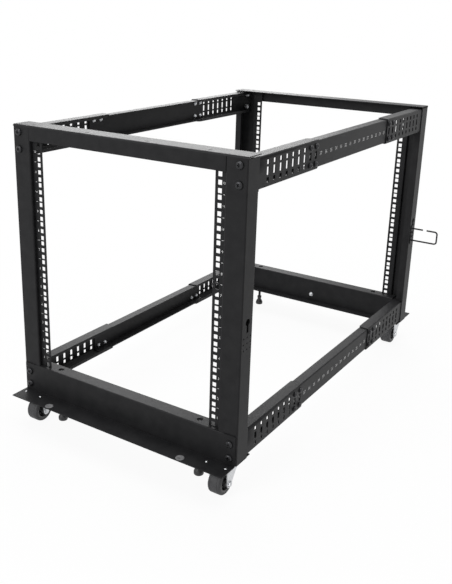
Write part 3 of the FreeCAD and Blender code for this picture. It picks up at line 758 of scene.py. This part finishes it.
@dataclass
class SlottedBrackets:
    """Rail brackets with their slots at full width.

    Slots: width, length of the middle ones, length of the outer ones, rise between them.
    """

    gauge: float = SHEET
    first: float = 69.0 * MM
    pitch: float = 25.4 * MM
    columns: int = 9
    open_columns: int = 7
    sheet_slot: tuple[float, ...] = (6.5 * MM, 18.0 * MM, 10.0 * MM, 17.5 * MM)
    true_slot: tuple[float, ...] = (8.5 * MM, 16.0 * MM, 9.0 * MM, 17.0 * MM)
    slack: float = 0.05 * MM

    def dress(self) -> None:
        """Replace the eight brackets."""
        for place, end in ENDS:
            face = mounting_face(place)
            for rail, sign in RAILS:
                name = f"{rail}_{place}_bracket"
                piece = set_piece(f"{name}_slotted", self.widened(name, sign, end, face),
                                  f"{place}_frame", Finish.POWDER)
                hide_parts(name)

    def widened(self, name: str, sign: int, end: int, face: float) -> Mesh:
        """A merged copy of a bracket with the edges of its slots moved.

        Args:
            name: The bracket's node.
            sign: -1 on the left and 1 on the right.
            end: -1 at the front and 1 at the rear.
            face: Depth of the mounting face.

        Returns:
            The mesh.
        """
        outside, middle = outer_x(name, sign), middle_z(name)
        copy = bmesh.new()
        copy.from_mesh(frame["nodes"][name].data)
        bmesh.ops.remove_doubles(copy, verts=copy.verts, dist=1e-5)
        wide, long, short, rise = self.sheet_slot
        new_wide, new_long, new_short, new_rise = self.true_slot
        rows = ((0.0, long, 0.0, new_long), (rise, short, new_rise, new_short),
                (-rise, short, -new_rise, new_short))
        moved = 0
        for vert in copy.verts:
            if abs(vert.co.x - outside) > self.gauge + self.slack:
                continue
            k = round((end * (face - vert.co.y) - self.first) / self.pitch)
            off = vert.co.y - (face - end * (self.first + k * self.pitch))
            if not 0 <= k < self.columns or abs(off) > wide / 2.0 + self.slack:
                continue
            for level, size, new_level, new_size in rows:
                up = vert.co.z - middle - level
                if abs(up) <= size / 2.0 + self.slack and (level == 0.0 or k < self.open_columns):
                    vert.co.y += off * (new_wide / wide - 1.0)
                    vert.co.z = middle + new_level + up * new_size / size
                    moved += 1
                    break
        LOG.info("%s: %d slot points moved", name, moved)
        return solid_mesh(f"{name}_slotted", [copy], crease=30.0)


@dataclass
class RailLips:
    """Narrow return lips on the free edges of the rail brackets' flanges."""

    gauge: float = 1.4 * MM
    height: float = 7.0 * MM
    sheet: float = SHEET
    inset: float = 12.0 * MM
    round_off: float = 0.4 * MM

    def dress(self) -> None:
        """Add the lips of the eight brackets."""
        for place, _ in ENDS:
            strips = []
            for rail, sign in RAILS:
                low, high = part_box(f"{rail}_{place}_bracket")
                edge = outer_x(f"{rail}_{place}_bracket", -sign)
                across = sorted((edge, edge + sign * self.gauge))
                along = (low.y + self.inset, high.y - self.inset)
                for start, rise in ((low.z + self.sheet * 0.5, 1), (high.z - self.sheet * 0.5, -1)):
                    heights = sorted((start, start + rise * self.height))
                    strips.append(slab(*zip(across, along, heights), self.round_off))
            set_solid(f"{place}_rail_lips", strips, f"{place}_frame", Finish.POWDER)


@dataclass
class Scales:
    """Printed unit numbers on the mounting strips and the depth scale on the rails."""

    unit: float = 44.45 * MM
    units: int = 12
    first: float = 143.0 * MM
    strip_x: float = 242.6 * MM
    digit: float = 5.6 * MM
    two_digits: float = 0.78  # size of the numbers from 10 on, to that of the others
    dash: Pair = (4.6 * MM, 0.8 * MM)
    pitch: float = 25.4 * MM
    rail_digit: float = 7.6 * MM
    rail_highest: int = 39
    rail_count: int = 19

    def dress(self) -> None:
        """Print the strips of both frames and the four middle rails."""
        for place, end in ENDS:
            ink, face = Print(), mounting_face(place)
            for _, sign in SIDES:
                for k in range(self.units):
                    height = self.first + k * self.unit
                    if k:
                        ink.bar(*self.dash, self.strip_seat(sign, face, end, height))
                    ink.write(str(k + 1), self.digit if k < 9 else self.digit * self.two_digits,
                              self.strip_seat(sign, face, end, height + self.unit / 2.0))
            set_piece(f"{place}_unit_numbers", ink.mesh(f"{place}_unit_numbers"),
                      f"{place}_frame", Finish.INK)
        ink = Print()
        for rail, sign in RAILS:
            web, middle = outer_x(f"{rail}_middle_rail", sign), middle_z(f"{rail}_middle_rail")
            for k in range(self.rail_count):
                depth = (k - (self.rail_count - 1) / 2.0) * self.pitch
                ink.write(str(self.rail_highest - k), self.rail_digit,
                          seat((web, depth, middle), (0, sign, 0), UP))
        set_piece("middle_rail_numbers", ink.mesh("middle_rail_numbers"), "middle_rails", Finish.INK)

    def strip_seat(self, sign: int, face: float, end: int, height: float) -> Matrix:
        """Where a mark stands on a mounting strip."""
        return seat((sign * self.strip_x, face, height), (-end, 0, 0), UP)


@dataclass
class BeamFittings:
    """Rivets of the top beams, and grey discs in the anchor holes whose grey is painted shade of the floor
    seen through them, caster bolts and earthing studs of the base beams.
    """

    repeater: Repeater
    rivets: tuple[float, ...] = (-250.0 * MM, -99.0 * MM, 58.0 * MM, 205.0 * MM)
    rivet_depth: float = 8.5 * MM
    hole_disc_place: Pair = (185.0 * MM, 48.5 * MM)
    stud_height: float = 96.0 * MM
    inner_web: float = 25.0 * MM
    bolts: Pair = (23.0 * MM, 31.0 * MM)
    sheet: float = SHEET
    rivet: Fastener = Fastener(Head.RIVET, 9.0 * MM, 0.5 * MM)
    plug: Fastener = Fastener(Head.DISC, 19.0 * MM, 1.3 * MM)
    bolt: Fastener = Fastener(Head.HEX, 10.5 * MM, 3.0 * MM)
    bolt_end: Fastener = Fastener(Head.RIVET, 6.8 * MM, 2.6 * MM)
    stud: Fastener = Fastener(Head.NUT, 11.0 * MM, 7.0 * MM)

    def dress(self) -> None:
        """Add the fittings of both frames."""
        for place, end in ENDS:
            face = mounting_face(place)
            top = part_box(f"{place}_top_beam")[1].z
            low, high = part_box(f"{place}_left_caster_plate")
            flange = high.z + self.sheet
            heads, ends = [], []
            for side, _ in SIDES:
                a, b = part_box(f"{place}_{side}_caster_plate")
                middle = (a + b) / 2.0
                for i, j in ((-1, -1), (-1, 1), (1, -1), (1, 1)):
                    spot = (middle.x + i * self.bolts[0], middle.y + j * self.bolts[1])
                    heads.append(((*spot, low.z), DOWN))
                    ends.append(((*spot, high.z), UP))
            for name, kind, finish, points in (
                    ("top_rivets", self.rivet, Finish.POWDER,
                     [((x, face - end * self.rivet_depth, top), UP) for x in self.rivets]),
                    # Grey discs that fill the base beams' anchor holes; their grey is painted shade of the
                    # floor under the rack.
                    ("hole_plugs", self.plug, Finish.PLUG,
                     [((sign * self.hole_disc_place[0], face + end * self.hole_disc_place[1], flange), UP)
                      for _, sign in SIDES]),
                    ("caster_bolts", self.bolt, Finish.ZINC, heads),
                    ("caster_bolt_ends", self.bolt_end, Finish.ZINC, ends),
                    ("earthing_stud", self.stud, Finish.ZINC,
                     [((0.0, face - end * self.inner_web, self.stud_height), (0, -end, 0))])):
                self.repeater.fit(f"{place}_{name}", kind, points, finish, f"{place}_frame")


@dataclass
class Casters:
    """Tyres, wheel centres and axle washers of the four swivel casters.

    The shoulder and the washer are profiles in mm: the first one below the
    tread and in from the side, the second one by radius and height.
    """

    shoulder: tuple[Pair, ...] = ((4.2, 0), (2.2, 0.6), (0.9, 1.9), (0.2, 3.6), (0, 5.2),
                                  (0, 6.2), (0.5, 6.5), (0.5, 7.1), (0, 7.4))
    washer: tuple[Pair, ...] = ((6.3, 0), (8.4, 0), (8.4, 0.7), (8, 1), (6.6, 1), (6.3, 0.7))
    washer_height: float = 1.0 * MM
    rim: float = 21.0 * MM
    rim_wall: float = 4.0 * MM
    hub: float = 8.0 * MM
    bore: float = 3.1 * MM
    web: float = 3.5 * MM
    ribs: int = 6
    rib_half: float = 0.9 * MM
    leg: float = 22.5 * MM

    def dress(self) -> None:
        """Replace the plain wheels and add the washers."""
        for corner in CORNERS:
            low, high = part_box(f"{corner}_caster_tyre")
            radius, half = (high.z - low.z) / 2.0, (high.x - low.x) / 2.0
            place = Matrix.Translation((low + high) / 2.0) @ Matrix.Rotation(math.pi / 2.0, 4, "Y")
            tyre = set_solid(f"{corner}_tyre", [self.tyre(radius, half)], f"{corner}_wheel",
                             Finish.RUBBER, place)
            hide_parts(f"{corner}_caster_tyre")
            low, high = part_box(f"{corner}_caster_wheel")
            wheel = set_solid(f"{corner}_wheel_centre", self.centre(half, (high.x - low.x) / 2.0),
                              f"{corner}_wheel", Finish.WHEEL, place)
            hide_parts(f"{corner}_caster_wheel")
            rings = [lathe([(r * MM, z + h * MM) for r, h in self.washer], 32, ring=True)
                     for z in (self.leg, -self.leg - self.washer_height)]
            set_solid(f"{corner}_axle_washers", rings, f"{corner}_caster", Finish.ZINC,
                      place)

    def tyre(self, radius: float, half: float) -> Shape:
        """A tyre with rounded shoulders and two grooves, by tread radius and half its width."""
        edge = [(self.rim, half)] + [(radius - r * MM, half - x * MM) for r, x in self.shoulder]
        return lathe(mirrored(edge), 72, ring=True)

    def centre(self, half: float, reach: float) -> list[Shape]:
        """A dished wheel centre with a hub and ribs on both sides.

        Args:
            half: Half the rim's width.
            reach: Half the hub's length.

        Returns:
            The closed shapes.
        """
        inner, web = self.rim - self.rim_wall, self.web
        edge = [(self.bore, reach), (self.hub - 1.0 * MM, reach), (self.hub, reach - 1.0 * MM),
                (self.hub, web), (inner - 0.6 * MM, web), (inner, half - 1.0 * MM),
                (inner + 0.8 * MM, half - 0.2 * MM), (self.rim, half - 0.2 * MM)]
        shapes = [lathe(mirrored(edge), 60, ring=True)]
        for k in range(self.ribs):
            turn = Matrix.Rotation(math.tau * k / self.ribs, 4, "Z")
            for side in (-1, 1):
                heights = sorted((side * (web - 0.5 * MM), side * (half - 3.0 * MM)))
                rib = slab((self.hub - 0.6 * MM, -self.rib_half, heights[0]),
                           (inner + 0.2 * MM, self.rib_half, heights[1]), 0.35 * MM)
                bmesh.ops.transform(rib, matrix=turn, verts=rib.verts)
                shapes.append(rib)
        return shapes


@dataclass
class Feet:
    """Levelling feet: a moulded pad with a hexagon, on a threaded stem.

    The pad's profile is in shares of its radius, and its heights in mm.
    """

    pad: float = 11.0 * MM
    pad_profile: tuple[Pair, ...] = ((0, 0), (0.80, 0), (0.93, 0.5), (1, 1.8), (1, 7),
                                     (0.97, 8.6), (0.86, 11), (0.66, 14.6), (0.52, 17.4),
                                     (0.48, 22), (0, 22))
    hexagon: float = 7.5 * MM
    hexagon_foot: float = 22.0 * MM
    hexagon_height: float = 6.0 * MM
    chamfer: float = 0.7 * MM
    stem: float = 4.0 * MM
    thread_root: float = 0.86
    pitch: float = 1.25 * MM

    def dress(self) -> None:
        """Replace the four plain feet."""
        for corner in CORNERS:
            low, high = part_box(f"{corner}_levelling_foot")
            place = Matrix.Translation(((low.x + high.x) / 2.0, (low.y + high.y) / 2.0, low.z))
            pad = set_solid(f"{corner}_foot_pad", self.base(), f"{corner}_foot", Finish.PAD, place)
            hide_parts(f"{corner}_levelling_foot")
            set_solid(f"{corner}_foot_stem", [self.thread(high.z - low.z)], f"{corner}_foot",
                      Finish.SCREW, place=place, crease=70.0)

    def base(self) -> list[Shape]:
        """The pad and its hexagon.

        Returns:
            The closed shapes.
        """
        r, z = self.hexagon, self.hexagon_foot
        top = z + self.hexagon_height
        return [lathe([(self.pad * share, height * MM) for share, height in self.pad_profile], 40),
                lathe([(0.0, z), (r * 0.9, z), (r, z + self.chamfer), (r, top - self.chamfer),
                       (r * 0.9, top), (0.0, top)], 6)]

    def thread(self, top: float) -> Shape:
        """The stem with its thread as closely set ridges.

        Args:
            top: Height of the stem's end above the pad's underside.

        Returns:
            The closed shape.
        """
        start = self.hexagon_foot + self.hexagon_height - 0.5 * MM
        turns = int((top - 1.5 * MM - start) / self.pitch)
        root = self.stem * self.thread_root
        profile = [(0.0, start), (root, start)]
        for k in range(turns):
            base = start + k * self.pitch
            profile += [(root, base + 0.12 * self.pitch), (self.stem, base + 0.5 * self.pitch),
                        (root, base + 0.88 * self.pitch)]
        profile += [(self.stem * 0.8, top - 0.8 * MM), (self.stem * 0.6, top), (0.0, top)]
        return lathe(profile, 16)


@dataclass
class CableHook:
    """Round bent rod on a small screwed plate at the side of a post."""

    repeater: Repeater
    plate: float = 2.0 * MM
    rise: float = 17.5 * MM
    rod: float = 2.2 * MM
    rod_sides: int = 20
    bend: float = 7.0 * MM
    bend_steps: int = 8
    run: float = 30.0 * MM
    gap: float = 11.0 * MM
    clip: float = 4.0 * MM
    softening: float = 0.4 * MM
    screw_rise: float = 6.0 * MM
    screw: Fastener = Fastener(Head.PAN, 7.5 * MM, 2.6 * MM)

    def dress(self) -> None:
        """Replace the plain hook."""
        low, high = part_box("cable_hook")
        y, z = (low.y + high.y) / 2.0, (low.z + high.z) / 2.0
        root, tip = low.x + self.plate - 0.5 * MM, high.x - self.rod
        loop = self.rounded([(root, z - self.rise), (tip, z - self.rise), (tip, z + self.rise),
                             (root + self.run + self.gap, z + self.rise)])
        stub = [(root, z + self.rise), (root + self.run, z + self.rise)]
        piece = set_solid("cable_hook_rod", [self.swept(loop, y), self.swept(stub, y),
                                             self.backplate(low, high)],
                          "rear_frame", Finish.POWDER)
        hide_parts("cable_hook")
        points = [((low.x + self.plate, y, z + k * self.screw_rise), (1, 0, 0)) for k in (-1, 1)]
        self.repeater.fit("cable_hook_screws", self.screw, points, Finish.SCREW, "rear_frame")

    def rounded(self, corners: list[Pair]) -> list[Pair]:
        """Round the inner corners of a route.

        Args:
            corners: Its corners in the XZ plane.

        Returns:
            The route with arcs in their place.
        """
        route = [corners[0]]
        for before, corner, after in zip(corners, corners[1:], corners[2:]):
            a = (Vector(before) - Vector(corner)).normalized()
            b = (Vector(after) - Vector(corner)).normalized()
            heart = Vector(corner) + (a + b) * self.bend
            for k in range(self.bend_steps + 1):
                angle = math.pi / 2.0 * k / self.bend_steps
                route.append(tuple(heart - b * self.bend * math.cos(angle) - a * self.bend * math.sin(angle)))
        return route + [corners[-1]]

    def swept(self, route: list[Pair], y: float) -> Shape:
        """A round rod along a route, with softened ends.

        Args:
            route: Its points in the XZ plane.
            y: Depth of the plane.

        Returns:
            The closed rod.
        """
        made, sides, rings = bmesh.new(), self.rod_sides, []
        spots = [Vector((x, y, z)) for x, z in route]
        across, last = Vector((0.0, 1.0, 0.0)), len(spots) - 1
        for k, spot in enumerate(spots):
            ahead = (spots[min(k + 1, last)] - spots[max(k - 1, 0)]).normalized()
            out = ahead.cross(across)
            layers = [(spot, self.rod)]
            if k == 0:
                layers = [(spot, self.rod * 0.8), (spot + ahead * self.softening, self.rod)]
            elif k == last:
                layers = [(spot - ahead * self.softening, self.rod), (spot, self.rod * 0.8)]
            for middle, radius in layers:
                rings.append([made.verts.new(middle + (across * math.cos(t) + out * math.sin(t)) * radius)
                              for t in (math.tau * i / sides for i in range(sides))])
        for one, two in zip(rings, rings[1:]):
            for i in range(sides):
                j = (i + 1) % sides
                made.faces.new((one[i], one[j], two[j], two[i]))
        made.faces.new(rings[0])
        made.faces.new(rings[-1])
        return outward(made)

    def backplate(self, low: Vector, high: Vector) -> Shape:
        """The plate with clipped corners and softened edges.

        Args:
            low: Lowest corner of the hook.
            high: Highest corner of the hook.

        Returns:
            The closed shape.
        """
        clip, made = self.clip, bmesh.new()
        outline = [(low.y + clip, low.z), (high.y - clip, low.z), (high.y, low.z + clip),
                   (high.y, high.z - clip), (high.y - clip, high.z), (low.y + clip, high.z),
                   (low.y, high.z - clip), (low.y, low.z + clip)]
        face = made.faces.new([made.verts.new((low.x, y, z)) for y, z in outline])
        grown = bmesh.ops.extrude_face_region(made, geom=[face])["geom"]
        tips = [g for g in grown if isinstance(g, bmesh.types.BMVert)]
        bmesh.ops.translate(made, vec=(self.plate, 0.0, 0.0), verts=tips)
        outward(made)
        bmesh.ops.bevel(made, geom=list(made.edges), offset=self.softening, segments=2, affect="EDGES")
        return made


@dataclass
class Studio:
    """Pale floor and backdrop, soft lamps and the camera.

    Each lamp has its name, place, size and power.
    """

    eye: Point = (0.9900, -1.6843, 0.9735)
    yaw: float = -0.583
    pitch: float = 0.319
    roll: float = 0.022
    lens: float = 48.35
    sensor: float = 36.0
    shift: Pair = (0.0423, -0.0561)
    sight: float = 100.0
    floor_reach: float = 30.0
    floor_colour: float = 0.86
    near_glow: float = 0.93
    glow_zone: Pair = (0.5, 1.8)
    fill_colour: float = 0.9
    fill: float = 0.31
    target: Point = (0.0, 0.0, 0.35)
    lamp_list: tuple[tuple[str, Point, float, float], ...] = (
        ("key", (-0.9, -3.2, 1.9), 1.3, 50.0), ("overhead", (0.2, 0.1, 3.0), 2.0, 58.0),
        ("behind", (-1.9, 2.4, 1.9), 2.0, 46.0), ("right", (3.0, -0.9, 0.6), 1.6, 1.2))

    def build(self) -> None:
        """Set the whole stage."""
        self.camera()
        self.floor()
        self.world()
        self.lamps()
        bpy.context.scene.view_settings.view_transform = "Standard"

    def camera(self) -> None:
        """Stand the camera where it sees the front and the right side."""
        data = bpy.data.cameras.new("camera")
        data.lens, data.sensor_width, data.clip_end = self.lens, self.sensor, self.sight
        data.shift_x, data.shift_y = self.shift
        camera = stand("camera", data)
        ahead = Vector((math.sin(self.yaw) * math.cos(self.pitch),
                        math.cos(self.yaw) * math.cos(self.pitch), -math.sin(self.pitch)))
        right = Vector((math.cos(self.yaw), -math.sin(self.yaw), 0.0))
        up = right.cross(ahead)
        tilted_right = right * math.cos(self.roll) + up * math.sin(self.roll)
        tilted_up = up * math.cos(self.roll) - right * math.sin(self.roll)
        turn = Matrix((tilted_right, tilted_up, -ahead)).transposed()
        camera.matrix_world = Matrix.Translation(self.eye) @ turn.to_4x4()
        bpy.context.scene.camera = camera

    def floor(self) -> None:
        """A wide white floor that keeps only a faint shadow."""
        mesh, reach = bpy.data.meshes.new("floor"), self.floor_reach
        mesh.from_pydata([(-reach, -reach, 0), (reach, -reach, 0), (reach, reach, 0),
                          (-reach, reach, 0)], [], [(0, 1, 2, 3)])
        stand("floor", mesh)
        material = bpy.data.materials.new("studio_floor")
        material.use_nodes = True
        bench = Bench(material.node_tree)
        diffuse = bench.add("ShaderNodeBsdfDiffuse", {"Color": (*(self.floor_colour,) * 3, 1.0)})
        glow = bench.add("ShaderNodeEmission", {"Color": WHITE, "Strength": 1.0})
        place = bench.add("ShaderNodeTexCoord").outputs["Object"]
        far = bench.add("ShaderNodeVectorMath", {0: place}, operation="LENGTH")
        ramp = bench.add("ShaderNodeMapRange", {
            "Value": far.outputs["Value"], "From Min": self.glow_zone[0], "From Max": self.glow_zone[1],
            "To Min": self.near_glow, "To Max": 1.0}, interpolation_type="SMOOTHSTEP")
        share = bench.add("ShaderNodeMath", {0: self.seen(bench), 1: ramp.outputs["Result"]},
                          operation="MULTIPLY")
        mix = bench.add("ShaderNodeMixShader", {0: share.outputs[0], 1: diffuse.outputs[0],
                                                2: glow.outputs[0]})
        bench.add("ShaderNodeOutputMaterial", {"Surface": mix.outputs[0]})
        mesh.materials.append(material)

    def seen(self, bench: Bench) -> Socket:
        """Tell the rays that see the surroundings: camera, glossy and transmission.

        Args:
            bench: The tree to add to.

        Returns:
            1 for those rays and 0 for the others.
        """
        rays = bench.add("ShaderNodeLightPath").outputs
        first = bench.add("ShaderNodeMath", {0: rays["Is Camera Ray"], 1: rays["Is Glossy Ray"]},
                          operation="MAXIMUM")
        return bench.add("ShaderNodeMath", {0: first.outputs[0], 1: rays["Is Transmission Ray"]},
                         operation="MAXIMUM").outputs[0]

    def world(self) -> None:
        """White to the eye and in reflections, a plain fill otherwise."""
        world = bpy.data.worlds.new("studio")
        world.use_nodes = True
        bpy.context.scene.world = world
        bench = Bench(world.node_tree)
        fill = bench.add("ShaderNodeBackground", {"Color": (*(self.fill_colour,) * 3, 1.0),
                                                  "Strength": self.fill})
        white = bench.add("ShaderNodeBackground", {"Color": WHITE, "Strength": 1.0})
        mix = bench.add("ShaderNodeMixShader", {0: self.seen(bench), 1: fill.outputs[0],
                                                2: white.outputs[0]})
        bench.add("ShaderNodeOutputWorld", {"Surface": mix.outputs[0]})

    def lamps(self) -> None:
        """Large soft lamps: a key at the front left, one overhead, one behind, a faint one right."""
        for name, place, size, power in self.lamp_list:
            data = bpy.data.lights.new(name, "AREA")
            data.shape, data.size, data.energy = "SQUARE", size, power
            aim = Vector(self.target) - Vector(place)
            turn = aim.to_track_quat("-Z", "Y").to_matrix().to_4x4()
            stand(name, data).matrix_world = Matrix.Translation(place) @ turn


def main() -> None:
    """Dress the rack and set the stage."""
    logging.basicConfig(level=logging.INFO, format="%(name)s: %(message)s")
    repeater = Repeater()
    Coatings().dress()
    for part in (FrameScrews(repeater), SlottedBrackets(), RailLips(), Scales(),
                 BeamFittings(repeater), Casters(), Feet(), CableHook(repeater)):
        LOG.info("dressing with %s", type(part).__name__)
        part.dress()
    Studio().build()


if __name__ == "__main__":
    main()
